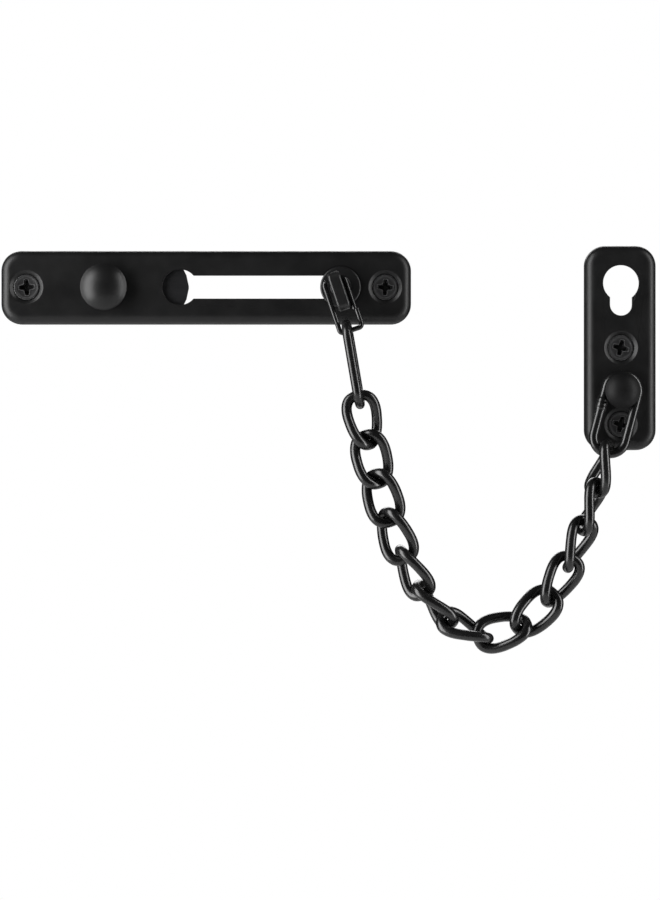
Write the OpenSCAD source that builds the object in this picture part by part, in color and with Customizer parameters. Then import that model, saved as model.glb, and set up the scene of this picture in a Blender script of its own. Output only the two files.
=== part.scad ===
/* [Slide plate] */
// Length of the slide plate
plate_length = 134; // [126:1:142]
// Width of the slide plate
plate_width = 24; // [23.5:0.5:26]
// Distance between the slide plate's screws
plate_screw_spacing = 117; // [116:0.2:120]
// Width of the slot that the stud runs in
slot_width = 7.5; // [7.3:0.1:7.8]
// Place of the stud along the plate, at the closed end of the slot
stud_x = 43.9; // [40.1:0.2:44.5]
// Place of the keyhole along the plate
keyhole_x = -8.4; // [-9:0.2:-8]
// Place of the push button along the plate
button_x = -33.1; // [-34:0.1:-33]

/* [Keeper plate] */
// Height of the keeper plate
keeper_length = 66.8; // [65:0.2:70]
// Width of the keeper plate
keeper_width = 23.3; // [22.8:0.1:24.6]
// Distance between the keeper's screws
keeper_screw_spacing = 25; // [24.5:0.1:25.5]

/* [Pressed sheet] */
// How far the plates stand out from the door
plate_height = 5.2; // [5.2:0.1:5.6]
// Thickness of the pressed sheet
sheet = 1.2; // [1.1:0.1:1.2]
// Radius of a plate's corners
plate_corner = 6.6; // [6:0.1:7.4]
// Radius of the rolled edge
rolled_edge = 3.4; // [3:0.1:3.6]

/* [Chain] */
// Wire diameter of the twisted links
link_wire = 3.2; // [3:0.05:3.2]
// Length of a twisted link over its ends
link_length = 19.9; // [19.8:0.1:20]
// Width of a twisted link over its sides
link_width = 13.5; // [13.4:0.1:13.7]
// Twist from one end of a link to the other
link_twist = 62; // [58:1:66]
// Wire diameter of the two long links
long_wire = 3; // [2.9:0.05:3]
// Length of a long link over its ends
long_length = 29.4; // [29:0.1:30.2]
// Width of a long link over its sides
long_width = 13.6; // [13.4:0.1:14]
// Wire diameter of the bail
bail_wire = 1.6; // [1.5:0.05:1.7]

/* [Hidden] */
$fn = 64;

black = [0.07, 0.07, 0.075];
steel = [0.2, 0.2, 0.21];
spring_steel = [0.3, 0.3, 0.32];

// Heights are measured out from the door, so a height of 0 is the door's surface.
running_gap = 0.05;
contact_gap = 0.12;
sheet_back = plate_height - sheet;
through = 20;

// No. 8 countersunk wood screws
screw_head_r = 4.15;
screw_neck_r = 1.9;
screw_shank_r = 2.08;
screw_root_r = 1.4;
screw_head_top = plate_height - 0.8;
screw_rim_height = screw_head_top - 0.35;
countersink_angle = 41;
cone_slope = tan(countersink_angle);
screw_neck_top = screw_rim_height - (screw_head_r - screw_neck_r) / cone_slope;
screw_length = 19;
thread_top = -4;
thread_pitch = 1.7;
thread_turns = 5;

// Dimples that seat the screw heads
dimple_r = 5.5;
dimple_mouth_r = 4.4;
dimple_hole_r = 2.3;
dimple_mouth_height = plate_height - 0.9;
dimple_hole_height = dimple_mouth_height - (dimple_mouth_r - dimple_hole_r) / cone_slope;
dimple_bottom = dimple_hole_height - 0.9;
dimple_foot_r = 4.75;

// Push button and its leaf spring
button_r = 7.6;
button_crown = 3.4;
button_lift = 2.1;
button_stem_r = 3;
button_rivet_r = 1.95;
button_hole_r = 3.8;
leaf_thickness = 0.6;
leaf_width = 18;
leaf_tip_r = 10.5;
leaf_top = sheet_back - 0.1;
leaf_bottom = leaf_top - leaf_thickness;
leaf_start_x = -52.5;
leaf_weld_x = -50;
leaf_tip_x = keyhole_x + 2.8;

// Stud that runs in the slot
keyhole_r = 5.8;
stud_head_r = 5.3;
stud_head_height = 1.3;
stud_neck_r = 3.4;
stud_collar_r = 6.6;
stud_collar_height = 1.25;
stud_head_top = sheet_back - 0.15;
stud_head_bottom = stud_head_top - stud_head_height;
stud_collar_bottom = plate_height + 0.15;
stud_collar_top = stud_collar_bottom + stud_collar_height;
swivel_pin_r = 1.6;
slot_end_x = stud_x + stud_neck_r + contact_gap - slot_width / 2;

// Swivel eye: a lug that stands to one side of its pin, with the bail's bore at its back end
eye_height = 12.2;
eye_r = 2.6;
eye_edge = 0.9;
eye_thickness = 4.2;
eye_side = -1.1;
eye_back = -2.4;
eye_front = 5.4;
eye_bore_r = bail_wire / 2 + 0.25;
eye_foot_r = 3.4;
swivel_heading = -71.3;

// Bail, whose wire ends meet with a small step on one arm
bail_side = -1.5;
bail_reach = 17.15;
bail_half_width = 3.45;
bail_step = 0.55;
bail_bend = 1.2;
bail_gap = 0.12;
bail_gap_place = bail_reach - 6.2;

// Chain: the heading and the roll of link i follow two smooth rules
link_count = 13;
link_pitch = 12.94;
bend_slack = 0.5;
sag = 0.724;
sag_middle = 7.62;
first_roll = -25;
roll_step = 18.1;
roll_per_bend = 0.56;
height_step = -0.2;
link_half_length = (link_length - link_wire) / 2;
link_half_width = (link_width - link_wire) / 2;
link_roundness = 2.9;
link_steps = 36;
wire_sides = 10;

// Long links
long_bend = (long_width - long_wire) / 2;
long_straight = long_length - long_width;
long_heading = -80.3;
long_roll = 94;
long_seat = -1.1;
loop_heading = 74.6;
loop_height = 7.4;

// Keeper plate features, measured from the middle of the plate
keeper_keyhole_y = 21.1;
keeper_keyhole_r = 5.85;
keeper_slot_r = 3.6;
keeper_slot_y = 14.1;
keeper_rivet_y = -14.1;
rivet_head_r = 5.75;
rivet_head_crown = 3.1;
rivet_neck_r = 3.3;
rivet_head_bottom = 9.9;
rivet_stem_r = 2.4;
rivet_tail_r = 3.9;

// A direction in the plane of the door, as [along, up]
function heading_vector(angle) = [cos(angle), sin(angle)];
function flat(v) = [v[0], v[1], 0];

function link_heading(i) = atan(sag * (i - sag_middle));
function link_roll(i) =
    first_roll + roll_step * (i - 1) + roll_per_bend * (link_heading(i) - link_heading(1));

// Distance from the middle of link i to the middle of the link before it, closer where the chain bends
function link_spacing(i) =
    link_pitch - bend_slack * (1 - cos(link_heading(i) - link_heading(i - 1)));
// Middle of link i: each link turns about the point where it bears on the link before it
function link_place(i) =
    i == 1
        ? first_link_place
        : link_place(i - 1)
            + link_spacing(i) / 2
                * flat(heading_vector(link_heading(i - 1)) + heading_vector(link_heading(i)))
            + [0, 0, height_step];

bail_direction = heading_vector(swivel_heading);
bail_across = heading_vector(swivel_heading + 90);
bail_start = [stud_x, 0, eye_height] + eye_back * flat(bail_direction) + bail_side * flat(bail_across);
bail_end = bail_start + bail_reach * flat(bail_direction) + long_seat * flat(bail_across);
wire_overlap = (bail_wire + long_wire) / 2 + contact_gap;
long_start = bail_end - wire_overlap * flat(heading_vector(long_heading));
long_middle = long_start + (long_straight / 2 + long_bend) * flat(heading_vector(long_heading));
long_end = long_start + (long_straight + 2 * long_bend) * flat(heading_vector(long_heading));
link_overlap = (link_wire + long_wire) / 2 + contact_gap;
first_link_place =
    long_end + (link_half_length - link_overlap) * flat(heading_vector(link_heading(1)));
last_link_end = link_place(link_count)
    + (link_half_length - link_overlap) * flat(heading_vector(link_heading(link_count)));
loop_lean = asin((last_link_end[2] - loop_height) / (long_straight + 2 * long_bend));
loop_rise = (long_straight + long_bend) * cos(loop_lean);
keeper_post = last_link_end + loop_rise * flat(heading_vector(loop_heading));
keeper_x = keeper_post[0];
keeper_y = keeper_post[1] - keeper_rivet_y;

// ---- Frames ----

// The plates' own plane: x along the door, y up the door, z out from the door
module on_door() {
    rotate([90, 0, 0]) children();
}

module on_keeper() {
    on_door() translate([keeper_x, keeper_y, 0]) children();
}

// x along the piece, y across it, z out from the door, then rolled about x
module along_chain(place, heading, roll = 0, lean = 0) {
    on_door() translate(place) rotate([0, 0, heading]) rotate([roll, lean, 0]) children();
}

// ---- Pressed plates ----

// Half of a cross-section, with a rounded outer corner
module edge_profile(reach, base, height, edge) {
    translate([0, base]) square([reach, height - edge - base]);
    translate([0, base]) square([reach - edge, height - base]);
    translate([reach - edge, height - edge]) intersection() {
        circle(edge);
        square(edge);
    }
}

module rolled_bar(length, width, base, height, edge) {
    rotate([90, 0, 90]) linear_extrude(length, center = true) {
        edge_profile(width / 2, base, height, edge);
        mirror([1, 0]) edge_profile(width / 2, base, height, edge);
    }
}

module rolled_slab(length, width, base, height, corner, edge) {
    for (x = [-1, 1], y = [-1, 1])
        translate([x * (length / 2 - corner), y * (width / 2 - corner), 0])
            rotate_extrude() edge_profile(corner, base, height, edge);
    rolled_bar(length - 2 * corner, width, base, height, edge);
    rotate([0, 0, 90]) rolled_bar(width - 2 * corner, length, base, height, edge);
}

module pressed_tray(length, width) {
    difference() {
        rolled_slab(length, width, 0, plate_height, plate_corner, rolled_edge);
        rolled_slab(length - 2 * sheet, width - 2 * sheet, -1, sheet_back,
            plate_corner - sheet, rolled_edge - sheet);
    }
}

// Sheet pressed down under a screw head, as a cone below the tray's front
module screw_dimple() {
    lap = 0.1;
    translate([0, 0, dimple_bottom]) cylinder(
        h = sheet_back + lap - dimple_bottom,
        r1 = dimple_hole_r + sheet,
        r2 = dimple_foot_r
    );
}

// Room for the screw head, cut down into the dimple
module dimple_cut() {
    lip_slope = (dimple_r - dimple_mouth_r) / (plate_height - dimple_mouth_height);
    rotate_extrude() polygon([
        [0, -1],
        [dimple_hole_r, -1],
        [dimple_hole_r, dimple_hole_height],
        [dimple_mouth_r, dimple_mouth_height],
        [dimple_r + lip_slope, plate_height + 1],
        [0, plate_height + 1]
    ]);
}

module hole(r) {
    translate([0, 0, -1]) cylinder(h = through, r = r);
}

// Slot whose two ends are round, from one centre to the other along x
module slot_cut(from, to, r) {
    translate([0, 0, -1]) linear_extrude(through) {
        translate([from, -r]) square([to - from, 2 * r]);
        translate([from, 0]) circle(r);
        translate([to, 0]) circle(r);
    }
}

module slide_plate() {
    color(black) on_door() {
        difference() {
            union() {
                pressed_tray(plate_length, plate_width);
                for (side = [-1, 1]) translate([side * plate_screw_spacing / 2, 0, 0]) screw_dimple();
            }
            slot_cut(keyhole_x, slot_end_x, slot_width / 2);
            translate([keyhole_x, 0, 0]) hole(keyhole_r);
            translate([button_x, 0, 0]) hole(button_hole_r);
            for (side = [-1, 1]) translate([side * plate_screw_spacing / 2, 0, 0]) dimple_cut();
        }
    }
}

module keeper_plate() {
    color(black) on_keeper() {
        difference() {
            union() {
                rotate([0, 0, 90]) pressed_tray(keeper_length, keeper_width);
                for (i = [0, 1]) translate([0, -i * keeper_screw_spacing, 0]) screw_dimple();
            }
            rotate([0, 0, 90]) slot_cut(keeper_slot_y, keeper_keyhole_y, keeper_slot_r);
            translate([0, keeper_keyhole_y, 0]) hole(keeper_keyhole_r);
            translate([0, keeper_rivet_y, 0]) hole(rivet_stem_r + running_gap);
            for (i = [0, 1]) translate([0, -i * keeper_screw_spacing, 0]) dimple_cut();
        }
    }
}

// ---- Screws and rivet ----

module cross_recess() {
    wing = 4.8;
    blade = 1.05;
    depth = 2;
    translate([0, 0, screw_head_top - depth]) intersection() {
        union() {
            translate([-wing / 2, -blade / 2, 0]) cube([wing, blade, 2 * depth]);
            translate([-blade / 2, -wing / 2, 0]) cube([blade, wing, 2 * depth]);
        }
        cylinder(h = depth, r1 = blade, r2 = wing / 2);
    }
}

module wood_screw() {
    shank_top = 0.5;
    edge_depth = 0.15;
    edge_width = 0.2;
    thread_run_out = 0.3;
    tip = screw_head_top - screw_length;
    thread = [for (i = [0 : thread_turns - 1], half = [0, 1])
        [
            half == 0 ? screw_root_r : screw_shank_r,
            thread_top - (i + thread_run_out + half / 2) * thread_pitch
        ]];
    color(black) difference() {
        rotate_extrude() polygon(concat(
            [
                [0, screw_head_top],
                [screw_head_r - edge_width, screw_head_top],
                [screw_head_r, screw_head_top - edge_depth],
                [screw_head_r, screw_rim_height],
                [screw_neck_r, screw_neck_top],
                [screw_neck_r, shank_top],
                [screw_shank_r, shank_top],
                [screw_shank_r, thread_top]
            ],
            thread,
            [[screw_root_r, thread_top - (thread_turns + thread_run_out) * thread_pitch], [0, tip]]
        ));
        cross_recess();
    }
}

module plate_screw(side) {
    on_door() translate([side * plate_screw_spacing / 2, 0, 0]) wood_screw();
}

module keeper_screw(i) {
    on_keeper() translate([0, -i * keeper_screw_spacing, 0]) wood_screw();
}

// Half of a domed head with a thin upright rim, for turning about the y axis
module dome_profile(r, bottom, crown) {
    rim = 0.6;
    rim_step = 0.1;
    foot_r = r - rim_step;
    sphere_r = (foot_r * foot_r + crown * crown) / (2 * crown);
    translate([0, bottom]) square([r, rim]);
    intersection() {
        translate([0, bottom + rim + crown - sphere_r]) circle(sphere_r);
        translate([0, bottom + rim / 2]) square([r, 2 * crown]);
    }
}

module keeper_rivet() {
    tail_height = 0.9;
    seat_gap = 0.03;
    tail_top = sheet_back - seat_gap;
    color(black) on_keeper() translate([0, keeper_rivet_y, 0]) rotate_extrude() {
        dome_profile(rivet_head_r, rivet_head_bottom, rivet_head_crown);
        translate([0, plate_height + seat_gap])
            square([rivet_neck_r, rivet_head_bottom - plate_height]);
        translate([0, tail_top - tail_height])
            square([rivet_stem_r, plate_height + 1 - tail_top + tail_height]);
        translate([0, tail_top - tail_height]) square([rivet_tail_r, tail_height]);
    }
}

// ---- Latch ----

module push_button() {
    tail_height = 0.8;
    leaf_gap = 0.02;
    tail_top = leaf_bottom - leaf_gap;
    head_bottom = plate_height + button_lift;
    color(black) on_door() translate([button_x, 0, 0]) rotate_extrude() {
        dome_profile(button_r, head_bottom, button_crown);
        translate([0, leaf_top + leaf_gap]) square([button_stem_r, head_bottom - leaf_top]);
        translate([0, tail_top - tail_height])
            square([button_rivet_r, leaf_top + 1 - tail_top + tail_height]);
        translate([0, tail_top - tail_height]) square([button_stem_r, tail_height]);
    }
}

module latch_spring() {
    weld_r = 1.2;
    weld_rise = 0.08;
    color(spring_steel) on_door() {
        difference() {
            translate([0, 0, leaf_bottom]) linear_extrude(leaf_thickness) intersection() {
                translate([leaf_start_x, -leaf_width / 2])
                    square([leaf_tip_x - leaf_start_x, leaf_width]);
                union() {
                    translate([leaf_tip_x - leaf_tip_r, 0]) circle(leaf_tip_r);
                    translate([leaf_start_x, -leaf_width / 2])
                        square([leaf_tip_x - leaf_tip_r - leaf_start_x, leaf_width]);
                }
            }
            translate([button_x, 0, 0]) hole(button_rivet_r + running_gap);
        }
        for (side = [-1, 1])
            translate([leaf_weld_x, side * leaf_width / 4, leaf_bottom + leaf_thickness / 2])
                cylinder(h = leaf_thickness / 2 + weld_rise, r = weld_r);
    }
}

// ---- Stud, eye and bail ----

module slider_stud() {
    lap = 0.5;
    collar_edge = 0.5;
    color(steel) on_door() translate([stud_x, 0, 0]) difference() {
        rotate_extrude() {
            translate([0, stud_head_bottom]) square([stud_head_r, stud_head_height]);
            translate([0, stud_head_bottom])
                square([stud_neck_r, stud_collar_bottom - stud_head_bottom + lap]);
            translate([0, stud_collar_bottom])
                edge_profile(stud_collar_r, 0, stud_collar_height, collar_edge);
        }
        hole(swivel_pin_r + running_gap);
    }
}

// Half of a round disc's cross-section, rounded on both rims
module disc_profile(r, thickness, edge) {
    translate([0, -thickness / 2]) square([r - edge, thickness]);
    translate([0, -thickness / 2 + edge]) square([r, thickness - 2 * edge]);
    for (side = [-1, 1]) translate([r - edge, side * (thickness / 2 - edge)]) circle(edge);
}

// Lug with round ends and rounded edges, lying along x
module eye_lug() {
    for (end = [eye_back, eye_front]) translate([end, 0, 0]) rotate([90, 0, 0])
        rotate_extrude() disc_profile(eye_r, eye_thickness, eye_edge);
    translate([eye_back, 0, 0]) rotate([0, 90, 0]) linear_extrude(eye_front - eye_back) {
        disc_profile(eye_r, eye_thickness, eye_edge);
        mirror([1, 0]) disc_profile(eye_r, eye_thickness, eye_edge);
    }
}

module swivel_eye() {
    foot_bottom = stud_collar_top + running_gap;
    foot_lap = 0.5;
    tail_height = 0.9;
    tail_r = 2.6;
    tail_top = stud_head_bottom - running_gap;
    color(steel) along_chain([stud_x, 0, 0], swivel_heading) difference() {
        union() {
            translate([0, eye_side, eye_height]) eye_lug();
            translate([0, 0, foot_bottom])
                cylinder(h = eye_height - eye_r + foot_lap - foot_bottom, r = eye_foot_r);
            translate([0, 0, tail_top - tail_height])
                cylinder(h = foot_bottom + 1 - tail_top + tail_height, r = swivel_pin_r);
            translate([0, 0, tail_top - tail_height]) cylinder(h = tail_height, r = tail_r);
        }
        translate([eye_back, 0, eye_height]) rotate([90, 0, 0])
            cylinder(h = through, r = eye_bore_r, center = true);
    }
}

// Wire along x from one end to the other
module wire_along(from, to, y, r) {
    translate([from, y, 0]) rotate([0, 90, 0]) cylinder(h = to - from, r = r);
}

// Wire bent through an angle about the origin, starting on the x axis
module wire_bend(bend, r, angle) {
    rotate_extrude(angle = angle) translate([bend, 0]) circle(r);
}

// One end of the bail: the wire across it and its two bends, reaching to y = low and y = high
module bail_end_wire(low, high, r) {
    translate([0, low + bail_bend, 0]) rotate([-90, 0, 0])
        cylinder(h = high - low - 2 * bail_bend, r = r);
    translate([-bail_bend, high - bail_bend, 0]) wire_bend(bail_bend, r, 90);
    translate([-bail_bend, low + bail_bend, 0]) mirror([0, 1, 0]) wire_bend(bail_bend, r, 90);
}

module bail() {
    r = bail_wire / 2;
    low_arm = bail_half_width + bail_step;
    color(steel) along_chain(bail_start, swivel_heading) {
        mirror([1, 0, 0]) bail_end_wire(-bail_half_width, bail_half_width, r);
        translate([bail_reach, 0, 0]) bail_end_wire(-bail_half_width, low_arm, r);
        wire_along(bail_bend, bail_reach - bail_bend, -bail_half_width, r);
        wire_along(bail_bend, bail_gap_place, bail_half_width, r);
        wire_along(bail_gap_place + bail_gap, bail_reach - bail_bend, low_arm, r);
    }
}

// ---- Chain ----

// Long link with straight sides, centred, lying in its own xy plane
module straight_link() {
    r = long_wire / 2;
    half = long_straight / 2;
    for (side = [-1, 1]) {
        wire_along(-half, half, side * long_bend, r);
        translate([side * half, 0, 0]) rotate([0, 0, -90 * side]) wire_bend(long_bend, r, 180);
    }
}

// Centre line of a twisted link at angle t, as a rounded oval turned steadily about x
function oval_power(v) = sign(v) * pow(abs(v), 2 / link_roundness);
function twist_at(t) = -link_twist / 2 * oval_power(cos(t));
function link_point(t) = [
    link_half_length * oval_power(cos(t)),
    link_half_width * oval_power(sin(t)) * cos(twist_at(t)),
    link_half_width * oval_power(sin(t)) * sin(twist_at(t))
];
function unit(v) = v / norm(v);
function tangent_at(t) = unit(link_point(t + 1) - link_point(t - 1));
// Square to the wire, and as nearly as it can be square to the oval's own face
function side_at(t) =
    let (along = tangent_at(t), face = [0, -sin(twist_at(t)), cos(twist_at(t))])
    unit(face - (face * along) * along);

function wire_ring(t) =
    let (side = side_at(t), other = cross(side, tangent_at(t)))
    [for (k = [0 : wire_sides - 1], angle = 360 * k / wire_sides)
        link_point(t) + link_wire / 2 * (cos(angle) * side + sin(angle) * other)];

// Number of the point that is k round the wire on ring j, each counted past its end
function ring_point(j, k) = (j % link_steps) * wire_sides + k % wire_sides;

module twisted_link() {
    half_step = 180 / link_steps;
    points = [for (j = [0 : link_steps - 1]) each wire_ring(360 * j / link_steps + half_step)];
    faces = [for (j = [0 : link_steps - 1], k = [0 : wire_sides - 1], half = [0, 1])
        half == 0
            ? [ring_point(j, k), ring_point(j + 1, k), ring_point(j + 1, k + 1)]
            : [ring_point(j, k), ring_point(j + 1, k + 1), ring_point(j, k + 1)]];
    polyhedron(points, faces);
}

module chain_link(i) {
    color(steel) along_chain(link_place(i), link_heading(i), link_roll(i)) twisted_link();
}

module long_link() {
    color(steel) along_chain(long_middle, long_heading, long_roll) straight_link();
}

module keeper_loop() {
    color(steel) along_chain(last_link_end, loop_heading, 0, loop_lean)
        translate([long_straight / 2 + long_bend, 0, 0]) straight_link();
}

slide_plate();
plate_screw(-1);  // plate_screw_left
plate_screw(1);  // plate_screw_right
push_button();
latch_spring();
slider_stud();
swivel_eye();
bail();
long_link();
chain_link(1);  // chain_link_01
chain_link(2);  // chain_link_02
chain_link(3);  // chain_link_03
chain_link(4);  // chain_link_04
chain_link(5);  // chain_link_05
chain_link(6);  // chain_link_06
chain_link(7);  // chain_link_07
chain_link(8);  // chain_link_08
chain_link(9);  // chain_link_09
chain_link(10);  // chain_link_10
chain_link(11);  // chain_link_11
chain_link(12);  // chain_link_12
chain_link(13);  // chain_link_13
keeper_loop();
keeper_plate();
keeper_rivet();
keeper_screw(0);  // keeper_screw_upper
keeper_screw(1);  // keeper_screw_lower
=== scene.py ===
"""Looks of the door chain guard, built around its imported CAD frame.

Metres, +Z up. The door's surface is the plane y = 0 and the guard stands out from it towards -Y.
"""

import math

import bmesh
import bpy
import numpy as np
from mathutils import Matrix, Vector


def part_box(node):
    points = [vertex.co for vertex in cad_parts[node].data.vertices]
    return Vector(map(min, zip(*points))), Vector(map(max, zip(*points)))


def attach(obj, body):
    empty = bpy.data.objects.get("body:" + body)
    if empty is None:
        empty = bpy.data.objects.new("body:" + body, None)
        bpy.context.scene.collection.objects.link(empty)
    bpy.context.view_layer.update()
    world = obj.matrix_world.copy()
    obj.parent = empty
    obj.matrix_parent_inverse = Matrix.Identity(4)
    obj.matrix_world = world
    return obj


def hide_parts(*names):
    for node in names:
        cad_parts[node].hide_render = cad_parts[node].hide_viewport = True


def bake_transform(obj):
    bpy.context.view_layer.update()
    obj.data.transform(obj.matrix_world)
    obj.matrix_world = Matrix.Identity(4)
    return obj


MM = 0.001
# From nothing to all of a mask
WHOLE = (0.0, 1.0)

# Coating: its patches, orange peel and dust to a millimetre
PATCHES_PER_MM = 0.12
GRAIN_PER_MM = 1.6
DUST_PER_MM = 5.0
GRAIN_STRENGTH = 0.6
# Between which noise values a patch's colour, a patch's sheen and dust come in
PATCH_FADE = (0.3, 0.7)
SHEEN_FADE = (0.25, 0.75)
DUST_FADE = (0.70, 0.80)
# Colours as multiples of the coating's tone
DARK_PATCH = (0.85, 0.85, 0.88)
PALE_PATCH = (1.2, 1.2, 1.22)
DUST = (4, 4, 4)
DUST_COVER = 0.35
# Roughness of the smoothest and the roughest patch, added to the coating's own
SHEEN_CHANGE = (-0.05, 0.06)
CLEAR_COAT_ROUGHNESS = 0.22

# Painted shade in crevices: how near a neighbour darkens the coating's gloss, how open a place is there,
# and the gloss left
CREVICE_REACH = 1.3 * MM
CREVICE_FADE = (0.35, 0.9)
CREVICE_GLOSS = 0.15
CREVICE_SAMPLES = 8

# Pale edges, partly wear and partly painted highlight on the rims: reach from a sharp edge, and cosines of
# the turn over which it counts as one
WEAR_HIGHLIGHT_REACH = 0.24 * MM
WEAR_HIGHLIGHT_COSINES = (0.99, 0.92)
WEAR_HIGHLIGHT_SAMPLES = 6
# The pale edges are broken up by the grain, and fade out towards the door's surface
WEAR_HIGHLIGHT_FADE = (0.35, 0.65)
WEAR_HIGHLIGHT_LEAST = 0.3
WEAR_HIGHLIGHT_PLACES = (-2 * MM, 0.0)
WEAR_HIGHLIGHT_BEHIND = 0.1
# Pale steel on the edges: worn coating, and painted highlight on the rims
BARE_STEEL_AND_HIGHLIGHT = (0.30, 0.30, 0.305)
BARE_METAL_AND_HIGHLIGHT = 0.4

# Spring steel, with rolling marks drawn out along the strip
MARKS_PER_MM = 4.0
MARKS_STRETCH = (0.04, 1, 1)
MARKS_FADE = (0.3, 0.7)
MARKS_STRENGTH = 0.3
MARKS_DEPTH = 0.02 * MM
DARK_STEEL = (0.005, 0.005, 0.006)
PALE_STEEL = (0.016, 0.016, 0.017)
STEEL_ROUGHNESS = (0.34, 0.48)
STEEL_METAL = 0.3

# Edges of the CAD pieces
SAME_POINT = 0.002 * MM
SHARP_EDGE = math.radians(32)
EDGE_SEGMENTS = 2
FLAT_FACE_WEIGHT = 100
PLATE_EDGE_R = 0.12 * MM
CAP_EDGE_R = 0.1 * MM
FITTING_EDGE_R = 0.08 * MM

# Wire
WIRE_SIDES = 20
LINK_COUNT = 13
LINK_WIRE_R = 1.7 * MM
LINK_TWIST = math.radians(62)
LINK_ROUNDNESS = 2.85
LINK_STEPS = 120
LONG_WIRE_R = 1.5 * MM
LONG_STEPS = 240

# Butt weld: its place from the middle of the link's side, and its shape in half lengths
WELD_PLACE = 2.0 * MM
WELD_LENGTH = 4.8 * MM
WELD_SWELL = 0.22 * MM
WELD_SWELL_END = 0.9
WELD_COLLAR = 0.16 * MM
WELD_COLLAR_PLACE = 0.62
WELD_COLLAR_WIDTH = 0.16
WELD_SEAM = 0.12 * MM
WELD_SEAM_WIDTH = 0.14
WELD_LUMPS = 0.45
WELD_NOWHERE = 9.0

# Screws: radii, and heights from the door's surface
SCREW_SIDES = 64
SCREW_HEAD_R = 4.15 * MM
SCREW_NECK_R = 1.9 * MM
SCREW_SHANK_R = 2.08 * MM
SCREW_ROOT_R = 1.4 * MM
SCREW_HEAD_TOP = 4.4 * MM
SCREW_RIM = 4.05 * MM
SCREW_NECK_TOP = 1.46 * MM
SCREW_NECK_BOTTOM = 0.5 * MM
SCREW_SHANK_TOP = 0.4 * MM
SCREW_THREAD_TOP = -4.0 * MM
SCREW_TAPER_TOP = -11.5 * MM
SCREW_TIP = -14.6 * MM
# Rim of a screw's head: a chamfer below, a rounded edge above, a flat, then a step down to the face
RIM_CHAMFER = 0.06 * MM
RIM_CHAMFER_LOW = 0.05 * MM
RIM_CHAMFER_HIGH = 0.03 * MM
RIM_ROUND = 0.2 * MM
RIM_ROUND_DROP = 0.07 * MM
RIM_FLAT_END = 0.5 * MM
RIM_STEP_END = 0.75 * MM
FACE_DEPTH = 0.1 * MM
# Thread
SCREW_PITCH = 1.7 * MM
THREAD_RINGS = 14
THREAD_HALF_WIDTH = 0.32
TIP_LEAST = 0.04
TIP_BLUNT = 0.05 * MM
# Cross recess
RECESS_REACH = 2.75 * MM
RECESS_BLADE = 0.66 * MM
RECESS_DEPTH = 2.2 * MM
RECESS_TAPER = 0.72
RECESS_CORNER = 1.5
RECESS_ABOVE = 0.3 * MM
SHADING_EDGE = math.radians(35)

# Latch spring: its leaf's thickness, round tip, narrowest width and how finely it is divided
LEAF_THICKNESS = 0.6 * MM
LEAF_TIP_R = 10.5 * MM
LEAF_NARROWEST = 0.4 * MM
LEAF_STEPS = 60
LEAF_COLUMNS = 13

# Camera: level, square to the door, in front of the middle of the picture
CAMERA_DISTANCE = 0.8
CAMERA_X = 40.5 * MM
CAMERA_Z = -53.1 * MM
PICTURE_HEIGHT = 295.2 * MM
SENSOR = 36.0

# Floor and light
FLOOR_Z = -0.30
FLOOR_R = 0.5
FLOOR_SIDES = 96
FLOOR_COLOUR = (0.86, 0.86, 0.86)
FLOOR_ROUGHNESS = 0.7
LIGHT_DISTANCE = 0.9
DIM_SKY = 0.03


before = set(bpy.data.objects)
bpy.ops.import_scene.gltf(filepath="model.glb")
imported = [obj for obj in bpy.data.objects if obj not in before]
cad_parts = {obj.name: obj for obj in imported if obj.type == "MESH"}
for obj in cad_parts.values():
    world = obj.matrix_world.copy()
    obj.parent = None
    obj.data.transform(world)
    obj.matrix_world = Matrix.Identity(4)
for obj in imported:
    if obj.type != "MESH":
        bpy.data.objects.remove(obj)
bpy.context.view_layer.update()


# ---- Mesh helpers ----

def new_piece(name, vertices, faces, material, body=None):
    """A smooth-shaded mesh object, which rides on a body if one is given."""
    mesh = bpy.data.meshes.new(name)
    mesh.from_pydata([tuple(map(float, v)) for v in vertices], [], faces)
    mesh.update()
    piece = bpy.data.objects.new(name, mesh)
    bpy.context.scene.collection.objects.link(piece)
    mesh.materials.append(material)
    mesh.shade_smooth()
    if body:
        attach(piece, body)
    return piece


def stands_for(node):
    """Shows a piece instead of its CAD node, by hiding the node."""
    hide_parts(node)


def node_points(node):
    """The distinct vertices of a CAD node, as rows of x, y, z."""
    points = np.array([v.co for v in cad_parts[node].data.vertices])
    return np.unique(np.round(points, 7), axis=0)


def main_axes(points):
    """Middle of some points, and their directions of largest, middle and least spread, right-handed."""
    middle = points.mean(axis=0)
    spread = points - middle
    directions = np.linalg.eigh(spread.T @ spread)[1]
    along, across = directions[:, 2], directions[:, 1]
    return middle, along, across, np.cross(along, across)


def half_extent(points, direction):
    """Half of the length that some points span in a direction."""
    return np.ptp(points @ direction) / 2


def unit_rows(v):
    """Each row of v, at length 1."""
    return v / np.linalg.norm(v, axis=1)[:, None]


def ring_faces(rings, sides):
    """Quads between neighbouring rings of a tube whose last ring joins its first."""
    faces = []
    for j in range(rings):
        here, there = j * sides, (j + 1) % rings * sides
        for k in range(sides):
            after = (k + 1) % sides
            faces.append((here + k, here + after, there + after, there + k))
    return faces


def closed_tube(centre_line, face_directions, radii):
    """Vertices and faces of wire bent into a ring. radii holds one row of radii for each ring."""
    along = unit_rows(np.roll(centre_line, -1, axis=0) - np.roll(centre_line, 1, axis=0))
    side = unit_rows(face_directions - (face_directions * along).sum(axis=1)[:, None] * along)
    other = np.cross(side, along)
    sides = radii.shape[1]
    angle = np.arange(sides) * math.tau / sides
    vertices = (
        centre_line[:, None, :]
        + radii[:, :, None] * np.cos(angle)[None, :, None] * side[:, None, :]
        + radii[:, :, None] * np.sin(angle)[None, :, None] * other[:, None, :]
    )
    return vertices.reshape(-1, 3), ring_faces(len(centre_line), sides)


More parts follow.
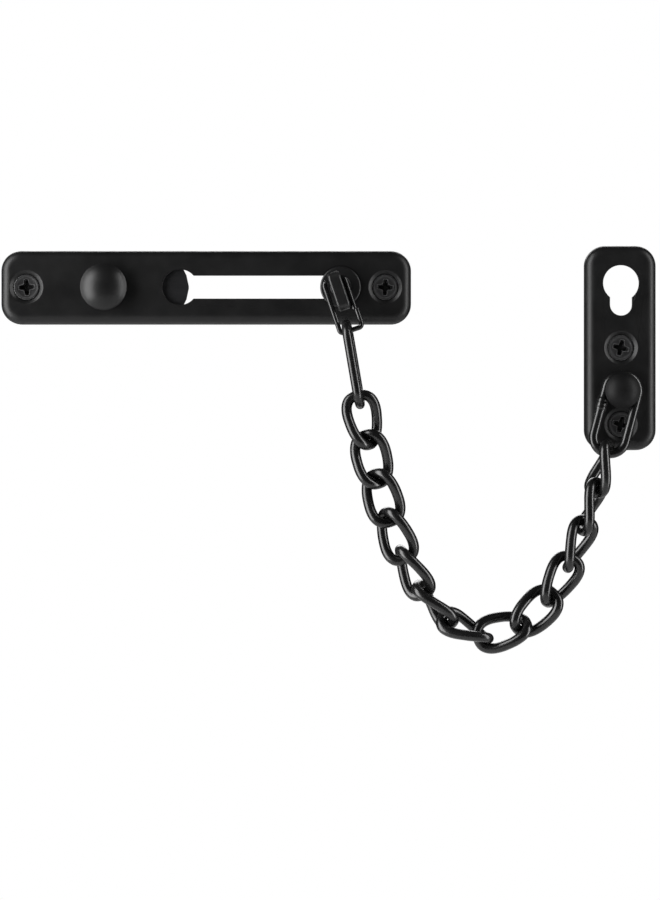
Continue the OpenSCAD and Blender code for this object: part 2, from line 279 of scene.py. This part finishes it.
def lathe(profile, sides):
    """Vertices and faces of a (radius, height) profile turned about z; an end of radius 0 closes it."""
    vertices, faces, rows = [], [], []
    for radius, height in profile:
        if radius == 0:
            rows.append([len(vertices)] * sides)
            vertices.append((0, 0, height))
            continue
        rows.append(list(range(len(vertices), len(vertices) + sides)))
        for k in range(sides):
            angle = math.tau * k / sides
            vertices.append((radius * math.cos(angle), radius * math.sin(angle), height))
    for low, high in zip(rows, rows[1:]):
        for k in range(sides):
            after = (k + 1) % sides
            corners = (low[k], low[after], high[after], high[k])
            faces.append(tuple(dict.fromkeys(corners)))
    return vertices, faces


# ---- Materials ----

def add_node(tree, kind, inputs=None, **settings):
    """A shader node. An input is either a plain value or another node's output."""
    node = tree.nodes.new(kind)
    for key, value in settings.items():
        setattr(node, key, value)
    for key, value in (inputs or {}).items():
        if isinstance(value, bpy.types.NodeSocket):
            tree.links.new(value, node.inputs[key])
        else:
            node.inputs[key].default_value = value
    return node


def new_material(name):
    """A material with an empty node tree, its tree, and the place of a point on its piece."""
    material = bpy.data.materials.new(name)
    material.use_nodes = True
    tree = material.node_tree
    tree.nodes.clear()
    place = add_node(tree, "ShaderNodeTexCoord").outputs["Object"]
    return material, tree, place


def noise(tree, place, per_mm, detail=4.0, roughness=0.6):
    """Noise whose grain repeats about per_mm times a millimetre."""
    return add_node(
        tree, "ShaderNodeTexNoise",
        {"Vector": place, "Scale": per_mm / MM, "Detail": detail, "Roughness": roughness},
    ).outputs["Fac"]


def remap(tree, value, given, wanted):
    """A value that goes from wanted[0] to wanted[1] while the input goes from given[0] to given[1]."""
    return add_node(
        tree, "ShaderNodeMapRange",
        {
            "Value": value,
            "From Min": given[0], "From Max": given[1],
            "To Min": wanted[0], "To Max": wanted[1],
        },
    ).outputs["Result"]


def multiply(tree, one, other):
    """The product of two values."""
    return add_node(tree, "ShaderNodeMath", {0: one, 1: other}, operation="MULTIPLY").outputs["Value"]


def tinted(tint, tone=1):
    """A colour as a node takes it: red, green and blue times a tone, and full alpha."""
    return tuple(tone * part for part in tint) + (1,)


def mix(tree, share, one, other):
    """A colour that goes from one to the other as share goes from 0 to 1."""
    return add_node(
        tree, "ShaderNodeMixRGB", {"Fac": share, "Color1": one, "Color2": other}
    ).outputs["Color"]


def bump(tree, height, strength, depth):
    """A normal that shows height as relief of some depth."""
    return add_node(
        tree, "ShaderNodeBump", {"Height": height, "Strength": strength, "Distance": depth}
    ).outputs["Normal"]


def set_surface(tree, inputs):
    """Finishes a material's tree with its surface."""
    surface = add_node(tree, "ShaderNodeBsdfPrincipled", inputs).outputs["BSDF"]
    add_node(tree, "ShaderNodeOutputMaterial", {"Surface": surface})


def coating(name, tone, roughness, grain_depth, shine=0.4, coat=0.0, wear_and_highlight=0.0):
    """Black coating on steel: orange peel, patchy sheen, painted shade in crevices, faint dust, and pale
    edges that are partly wear and partly painted highlight.
    """
    material, tree, place = new_material(name)
    patches = noise(tree, place, PATCHES_PER_MM, detail=3.0)
    grain = noise(tree, place, GRAIN_PER_MM, detail=5.0, roughness=0.65)
    dust = noise(tree, place, DUST_PER_MM, detail=2.0)

    patch = remap(tree, patches, PATCH_FADE, WHOLE)
    shade = mix(tree, patch, tinted(DARK_PATCH, tone), tinted(PALE_PATCH, tone))
    speck = remap(tree, dust, DUST_FADE, (0.0, DUST_COVER))
    shade = mix(tree, speck, shade, tinted(DUST, tone))
    metal = 0.0
    if wear_and_highlight:
        # Pale steel on sharp edges: wear, and a painted highlight on the rims
        worn_and_highlit = worn_and_highlit_edges(tree, place, grain, wear_and_highlight)
        shade = mix(tree, worn_and_highlit, shade, tinted(BARE_STEEL_AND_HIGHLIGHT))
        metal = multiply(tree, worn_and_highlit, BARE_METAL_AND_HIGHLIGHT)

    # Painted shade: ambient occlusion darkens the coating's reflection in crevices
    open_sky = add_node(
        tree, "ShaderNodeAmbientOcclusion", {"Distance": CREVICE_REACH}, samples=CREVICE_SAMPLES
    ).outputs["AO"]
    painted_shade_gloss = remap(tree, open_sky, CREVICE_FADE, (CREVICE_GLOSS, 1.0))
    sheen = [roughness + change for change in SHEEN_CHANGE]
    set_surface(tree, {
        "Base Color": shade,
        "Roughness": remap(tree, patches, SHEEN_FADE, sheen),
        "Metallic": metal,
        "Normal": bump(tree, grain, GRAIN_STRENGTH, grain_depth),
        "Specular IOR Level": multiply(tree, painted_shade_gloss, shine),
        "Coat Weight": coat,
        "Coat Roughness": CLEAR_COAT_ROUGHNESS,
    })
    return material


def worn_and_highlit_edges(tree, place, grain, amount):
    """Mask of sharp edges for wear and painted highlight, broken up by the grain and faint behind the
    door's surface.
    """
    rounded_edge = add_node(
        tree, "ShaderNodeBevel", {"Radius": WEAR_HIGHLIGHT_REACH}, samples=WEAR_HIGHLIGHT_SAMPLES
    ).outputs["Normal"]
    face = add_node(tree, "ShaderNodeNewGeometry").outputs["True Normal"]
    same = add_node(
        tree, "ShaderNodeVectorMath", {0: rounded_edge, 1: face}, operation="DOT_PRODUCT"
    ).outputs["Value"]
    turned = remap(tree, same, WEAR_HIGHLIGHT_COSINES, (0.0, amount))
    broken = remap(tree, grain, WEAR_HIGHLIGHT_FADE, (WEAR_HIGHLIGHT_LEAST, 1.0))
    depth = add_node(tree, "ShaderNodeSeparateXYZ", {"Vector": place}).outputs["Y"]
    out_from_door = remap(tree, depth, WEAR_HIGHLIGHT_PLACES, (1.0, WEAR_HIGHLIGHT_BEHIND))
    return multiply(tree, multiply(tree, turned, broken), out_from_door)


def spring_steel(name):
    """Dark spring steel with rolling marks along the strip."""
    material, tree, place = new_material(name)
    stretched = add_node(
        tree, "ShaderNodeMapping", {"Vector": place, "Scale": MARKS_STRETCH}
    ).outputs["Vector"]
    marks = noise(tree, stretched, MARKS_PER_MM)
    set_surface(tree, {
        "Base Color": mix(tree, marks, tinted(DARK_STEEL), tinted(PALE_STEEL)),
        "Metallic": STEEL_METAL,
        "Roughness": remap(tree, marks, MARKS_FADE, STEEL_ROUGHNESS),
        "Normal": bump(tree, marks, MARKS_STRENGTH, MARKS_DEPTH),
    })
    return material


plate_coat = coating(
    "black_plate_coat", tone=0.005, roughness=0.42, grain_depth=0.010 * MM, shine=0.29
)
button_coat = coating(
    "black_button_coat", tone=0.005, roughness=0.38, grain_depth=0.006 * MM, shine=0.3
)
rivet_coat = coating(
    "black_rivet_coat", tone=0.005, roughness=0.50, grain_depth=0.008 * MM, shine=0.13
)
wire_coat = coating(
    "black_wire_coat", tone=0.005, roughness=0.25, grain_depth=0.004 * MM, shine=0.45, coat=0.1
)
stud_coat = coating(
    "black_stud_coat", tone=0.008, roughness=0.34, grain_depth=0.012 * MM, wear_and_highlight=0.5
)
screw_coat = coating(
    "black_screw_coat", tone=0.014, roughness=0.32, grain_depth=0.06 * MM, shine=0.7, wear_and_highlight=1.0
)
leaf_steel = spring_steel("dark_spring_steel")


# ---- CAD pieces that are shown as they are ----

def finish_node(node, material, edge_r):
    """Gives a CAD piece its coating and a small radius on its sharp edges."""
    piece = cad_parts[node]
    piece.data.materials.clear()
    piece.data.materials.append(material)
    piece.data.shade_smooth()
    weld = piece.modifiers.new("join_faces", "WELD")
    weld.merge_threshold = SAME_POINT
    bevel = piece.modifiers.new("edge_radius", "BEVEL")
    bevel.width = edge_r
    bevel.segments = EDGE_SEGMENTS
    bevel.limit_method = "ANGLE"
    bevel.angle_limit = SHARP_EDGE
    flat_faces = piece.modifiers.new("flat_faces", "WEIGHTED_NORMAL")
    flat_faces.keep_sharp = True
    flat_faces.weight = FLAT_FACE_WEIGHT


for node in ("slide_plate", "keeper_plate"):
    finish_node(node, plate_coat, PLATE_EDGE_R)
finish_node("push_button", button_coat, CAP_EDGE_R)
finish_node("keeper_rivet", rivet_coat, CAP_EDGE_R)
for node in ("slider_stud", "swivel_eye"):
    finish_node(node, stud_coat, FITTING_EDGE_R)
finish_node("bail", wire_coat, FITTING_EDGE_R)


# ---- Wire links ----

def wire_piece(node, body, centre_line, face_directions, radii):
    """Shows a ring of wire in the place of a CAD link."""
    vertices, faces = closed_tube(centre_line, face_directions, radii)
    piece = new_piece(node + "_wire", vertices, faces, wire_coat, body)
    stands_for(node)


def squared(v):
    """Sine or cosine of a full turn, pushed outwards so that a circle becomes a rounded oblong."""
    return np.sign(v) * np.abs(v) ** (2 / LINK_ROUNDNESS)


def twisted_link(node, body):
    """A curb link: a rounded oblong turned steadily about its length, in the place of its CAD node."""
    points = node_points(node)
    middle, along, across, out = main_axes(points)
    half_length = half_extent(points - middle, along) - LINK_WIRE_R
    half_width = half_extent(points - middle, across) - LINK_WIRE_R
    angle = (np.arange(LINK_STEPS) + 0.5) * math.tau / LINK_STEPS
    reach, spread = squared(np.cos(angle)), squared(np.sin(angle))
    turn = -LINK_TWIST / 2 * reach
    flat, up = np.cos(turn)[:, None], np.sin(turn)[:, None]
    centre_line = (
        middle
        + half_length * reach[:, None] * along
        + half_width * spread[:, None] * (flat * across + up * out)
    )
    radii = np.full((LINK_STEPS, WIRE_SIDES), LINK_WIRE_R)
    wire_piece(node, body, centre_line, flat * out - up * across, radii)


def straight_link(node, body, weld_side=0):
    """A long link with straight sides, in the place of its CAD node.

    weld_side is 1 or -1 for a butt weld on the side that lies towards +X or -X, and 0 for none.
    """
    points = node_points(node)
    middle, along, across, out = main_axes(points)
    if along[2] < 0:
        along, out = -along, -out
    if across[0] < 0:
        across, out = -across, -out
    half_length = half_extent(points - middle, along)
    half_width = half_extent(points - middle, across)
    bend = half_width - LONG_WIRE_R
    straight = half_length - half_width
    total = 4 * straight + math.tau * bend
    travel = (np.arange(LONG_STEPS) + 0.5) * total / LONG_STEPS
    local = np.array([straight_link_point(s, straight, bend) for s in travel])
    centre_line = middle + local[:, :1] * along + local[:, 1:] * across
    radii = np.full((LONG_STEPS, WIRE_SIDES), LONG_WIRE_R)
    if weld_side:
        on_side = np.isclose(local[:, 1], weld_side * bend)
        offset = (local[:, 0] - WELD_PLACE) / (WELD_LENGTH / 2)
        radii += weld_bulge(np.where(on_side, offset, WELD_NOWHERE))
    wire_piece(node, body, centre_line, np.tile(out, (LONG_STEPS, 1)), radii)


def straight_link_point(s, straight, bend):
    """Point at distance s round a link's centre line, as (along, across), from one side's middle."""
    half_turn = math.pi * bend
    side = 1
    if s > 2 * straight + half_turn:
        s -= 2 * straight + half_turn
        side = -1
    if s < straight:
        return side * s, side * bend
    if s < straight + half_turn:
        angle = (s - straight) / bend
        return side * (straight + bend * math.sin(angle)), side * bend * math.cos(angle)
    return side * (2 * straight + half_turn - s), -side * bend


def weld_bulge(offset):
    """Extra radius over a butt weld: two pinched collars with a lumpy seam between them."""
    rows = offset[:, None]
    around = np.arange(WIRE_SIDES)[None, :] * math.tau / WIRE_SIDES
    swell = WELD_SWELL * np.exp(-(rows / WELD_SWELL_END) ** 4)
    collars = sum(
        WELD_COLLAR * np.exp(-((rows - place) / WELD_COLLAR_WIDTH) ** 2)
        for place in (WELD_COLLAR_PLACE, -WELD_COLLAR_PLACE)
    )
    seam = WELD_SEAM * np.exp(-(rows / WELD_SEAM_WIDTH) ** 2)
    lumps = 1 + WELD_LUMPS * np.sin(3 * around + 7 * rows) * np.sin(5 * around - 4 * rows)
    return (swell + collars + seam) * lumps


for number in range(1, LINK_COUNT + 1):
    twisted_link(f"chain_link_{number:02d}", f"link_{number:02d}")
straight_link("long_link", "long_link")
straight_link("keeper_loop", "keeper_loop", weld_side=-1)


# ---- Screws ----

def thread_radius(height, angle):
    """Radius of the threaded shank: a helical ridge that fades in at the top and tapers to the tip."""
    below_top = (SCREW_THREAD_TOP - height) / SCREW_PITCH
    turn = (below_top - angle / math.tau) % 1.0
    ridge = max(0.0, 1 - abs(turn - 0.5) / THREAD_HALF_WIDTH)
    fade = min(1.0, max(0.0, below_top))
    taper = min(1.0, max(TIP_LEAST, (height - SCREW_TIP) / (SCREW_TAPER_TOP - SCREW_TIP)))
    root = SCREW_SHANK_R + (SCREW_ROOT_R - SCREW_SHANK_R) * fade
    return (root + (SCREW_SHANK_R - SCREW_ROOT_R) * fade * ridge) * taper


def screw(node, body, turn):
    """A countersunk wood screw on its CAD node's axis, with its cross recess turned by some degrees."""
    low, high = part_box(node)
    centre_x, centre_z = (low.x + high.x) / 2, (low.z + high.z) / 2
    heights = np.arange(SCREW_TIP + TIP_BLUNT, SCREW_THREAD_TOP, SCREW_PITCH / THREAD_RINGS)
    profile = [(0, SCREW_TIP)]
    profile += [(SCREW_SHANK_R, height) for height in heights]
    profile += [
        (SCREW_SHANK_R, SCREW_THREAD_TOP),
        (SCREW_SHANK_R, SCREW_SHANK_TOP),
        (SCREW_NECK_R, SCREW_NECK_BOTTOM),
        (SCREW_NECK_R, SCREW_NECK_TOP),
        (SCREW_HEAD_R - RIM_CHAMFER, SCREW_RIM - RIM_CHAMFER_LOW),
        (SCREW_HEAD_R, SCREW_RIM + RIM_CHAMFER_HIGH),
        (SCREW_HEAD_R, SCREW_HEAD_TOP - RIM_ROUND),
        (SCREW_HEAD_R - RIM_CHAMFER, SCREW_HEAD_TOP - RIM_ROUND_DROP),
        (SCREW_HEAD_R - RIM_ROUND, SCREW_HEAD_TOP),
        (SCREW_HEAD_R - RIM_FLAT_END, SCREW_HEAD_TOP),
        (SCREW_HEAD_R - RIM_STEP_END, SCREW_HEAD_TOP - FACE_DEPTH),
        (0, SCREW_HEAD_TOP - FACE_DEPTH),
    ]
    vertices, faces = lathe(profile, SCREW_SIDES)
    vertices = np.array(vertices)
    for index in range(1, 1 + len(heights) * SCREW_SIDES):
        angle = math.tau * ((index - 1) % SCREW_SIDES) / SCREW_SIDES
        radius = thread_radius(vertices[index, 2], angle)
        vertices[index, :2] = radius * math.cos(angle), radius * math.sin(angle)
    placed = np.c_[vertices[:, 0] + centre_x, -vertices[:, 2], vertices[:, 1] + centre_z]
    piece = new_piece(node + "_shape", placed, faces, screw_coat)
    cut_recess(piece, centre_x, centre_z, math.radians(turn))
    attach(piece, body)
    stands_for(node)


def recess_cutter(centre_x, centre_z, first_turn):
    """A cross with tapering wings and a flat bottom, over the middle of a screw's head."""
    top = SCREW_HEAD_TOP + RECESS_ABOVE
    bottom = SCREW_HEAD_TOP - RECESS_DEPTH
    inner = RECESS_CORNER * RECESS_BLADE
    outline = []
    for quarter in range(4):
        turn = first_turn + quarter * math.pi / 2
        for along, across in ((RECESS_REACH, -RECESS_BLADE), (RECESS_REACH, RECESS_BLADE), (inner, inner)):
            outline.append((
                along * math.cos(turn) - across * math.sin(turn),
                along * math.sin(turn) + across * math.cos(turn),
            ))
    mesh = bmesh.new()
    upper, lower = (
        [mesh.verts.new((centre_x + share * x, -height, centre_z + share * y)) for x, y in outline]
        for share, height in ((1, top), (RECESS_TAPER, bottom))
    )
    count = len(outline)
    for k in range(count):
        after = (k + 1) % count
        mesh.faces.new((upper[k], upper[after], lower[after], lower[k]))
    mesh.faces.new(upper)
    mesh.faces.new(lower)
    bmesh.ops.recalc_face_normals(mesh, faces=mesh.faces)
    data = bpy.data.meshes.new("recess_cutter")
    mesh.to_mesh(data)
    mesh.free()
    return bpy.data.objects.new("recess_cutter", data)


def cut_recess(piece, centre_x, centre_z, first_turn):
    """Cuts the cross recess into a screw's head."""
    cutter = recess_cutter(centre_x, centre_z, first_turn)
    bpy.context.scene.collection.objects.link(cutter)
    cut = piece.modifiers.new("recess", "BOOLEAN")
    cut.object = cutter
    cut.operation = "DIFFERENCE"
    cut.solver = "EXACT"
    bpy.context.view_layer.update()
    shaped = bpy.data.meshes.new_from_object(piece.evaluated_get(bpy.context.evaluated_depsgraph_get()))
    piece.modifiers.clear()
    piece.data = shaped
    shaped.set_sharp_from_angle(angle=SHADING_EDGE)
    bpy.data.objects.remove(cutter)


for node, body, turn in (
    ("plate_screw_left", "slide_plate", 3),
    ("plate_screw_right", "slide_plate", -3),
    ("keeper_screw_upper", "keeper", -14),
    ("keeper_screw_lower", "keeper", -16),
):
    screw(node, body, turn)


# ---- Latch spring ----

def leaf_mesh(low, high):
    """Vertices and faces of a thin leaf with one round end, between two corners of its box."""
    half = (high.z - low.z) / 2
    vertices, faces = [], []
    for x in np.linspace(low.x, high.x, LEAF_STEPS + 1):
        into_tip = max(x - (high.x - LEAF_TIP_R), 0)
        round_half = math.sqrt(max(LEAF_TIP_R ** 2 - into_tip ** 2, LEAF_NARROWEST ** 2))
        width = min(half, round_half)
        for y in (high.y - LEAF_THICKNESS, high.y):
            for k in range(LEAF_COLUMNS):
                vertices.append((x, y, width * (2 * k / (LEAF_COLUMNS - 1) - 1)))
    back = LEAF_COLUMNS
    row = 2 * LEAF_COLUMNS
    for j in range(LEAF_STEPS):
        a, b = j * row, (j + 1) * row
        for k in range(LEAF_COLUMNS - 1):
            faces.append((a + k, a + k + 1, b + k + 1, b + k))
            faces.append((a + back + k, b + back + k, b + back + k + 1, a + back + k + 1))
        for k in (0, LEAF_COLUMNS - 1):
            faces.append((a + k, a + back + k, b + back + k, b + k))
    for a in (0, LEAF_STEPS * row):
        for k in range(LEAF_COLUMNS - 1):
            faces.append((a + k, a + k + 1, a + back + k + 1, a + back + k))
    return vertices, faces


def latch_spring():
    """The leaf behind the slide plate, between its weld and the push button, drawn flat."""
    vertices, faces = leaf_mesh(*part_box("latch_spring"))
    piece = new_piece("latch_spring_leaf", vertices, faces, leaf_steel)
    mesh = bmesh.new()
    mesh.from_mesh(piece.data)
    bmesh.ops.recalc_face_normals(mesh, faces=mesh.faces)
    mesh.to_mesh(piece.data)
    mesh.free()
    piece.data.set_sharp_from_angle(angle=SHADING_EDGE)
    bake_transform(piece)
    stands_for("latch_spring")


latch_spring()


# ---- Floor, light and camera ----

def pale_floor():
    """A plain round floor below the guard."""
    material = bpy.data.materials.new("pale_floor")
    material.use_nodes = True
    surface = material.node_tree.nodes["Principled BSDF"].inputs
    surface["Base Color"].default_value = tinted(FLOOR_COLOUR)
    surface["Roughness"].default_value = FLOOR_ROUGHNESS
    vertices, faces = lathe([(FLOOR_R, 0), (0, 0)], FLOOR_SIDES)
    vertices = [(x + CAMERA_X, y, FLOOR_Z) for x, y, _ in vertices]
    new_piece("floor", vertices, faces, material)


def softbox(name, azimuth, height, width, tall, watts):
    """A soft light, azimuth degrees round from the camera, turned to the middle of the guard."""
    angle = math.radians(azimuth)
    middle = Vector((CAMERA_X, 0, CAMERA_Z))
    light = bpy.data.lights.new(name, "AREA")
    light.shape = "RECTANGLE"
    light.size = width
    light.size_y = tall
    light.energy = watts
    lamp = bpy.data.objects.new(name, light)
    lamp.location = middle + Vector((
        LIGHT_DISTANCE * math.sin(angle), -LIGHT_DISTANCE * math.cos(angle), height
    ))
    lamp.rotation_euler = (middle - lamp.location).to_track_quat("-Z", "Y").to_euler()
    bpy.context.scene.collection.objects.link(lamp)


def surroundings():
    """White where the camera looks past the guard, and dim for everything that lights it."""
    world = bpy.data.worlds.new("studio")
    bpy.context.scene.world = world
    world.use_nodes = True
    tree = world.node_tree
    tree.nodes.clear()
    seen = add_node(tree, "ShaderNodeLightPath").outputs["Is Camera Ray"]
    strength = remap(tree, seen, WHOLE, (DIM_SKY, 1.0))
    white = add_node(tree, "ShaderNodeBackground", {"Color": (1, 1, 1, 1), "Strength": strength})
    add_node(tree, "ShaderNodeOutputWorld", {"Surface": white.outputs["Background"]})


def camera():
    """Level, and square to the door."""
    data = bpy.data.cameras.new("camera")
    data.sensor_width = SENSOR
    data.lens = SENSOR * CAMERA_DISTANCE / PICTURE_HEIGHT
    placed = bpy.data.objects.new("camera", data)
    placed.location = (CAMERA_X, -CAMERA_DISTANCE, CAMERA_Z)
    placed.rotation_euler = (math.pi / 2, 0, 0)
    bpy.context.scene.collection.objects.link(placed)
    bpy.context.scene.camera = placed


pale_floor()
surroundings()
softbox("left_softbox", azimuth=-66, height=0.0, width=0.60, tall=2.0, watts=32)
softbox("right_softbox", azimuth=72, height=0.0, width=0.24, tall=2.0, watts=15)
softbox("back_softbox", azimuth=180, height=0.5, width=0.8, tall=0.5, watts=5)
camera()
bpy.context.scene.view_settings.view_transform = "Standard"
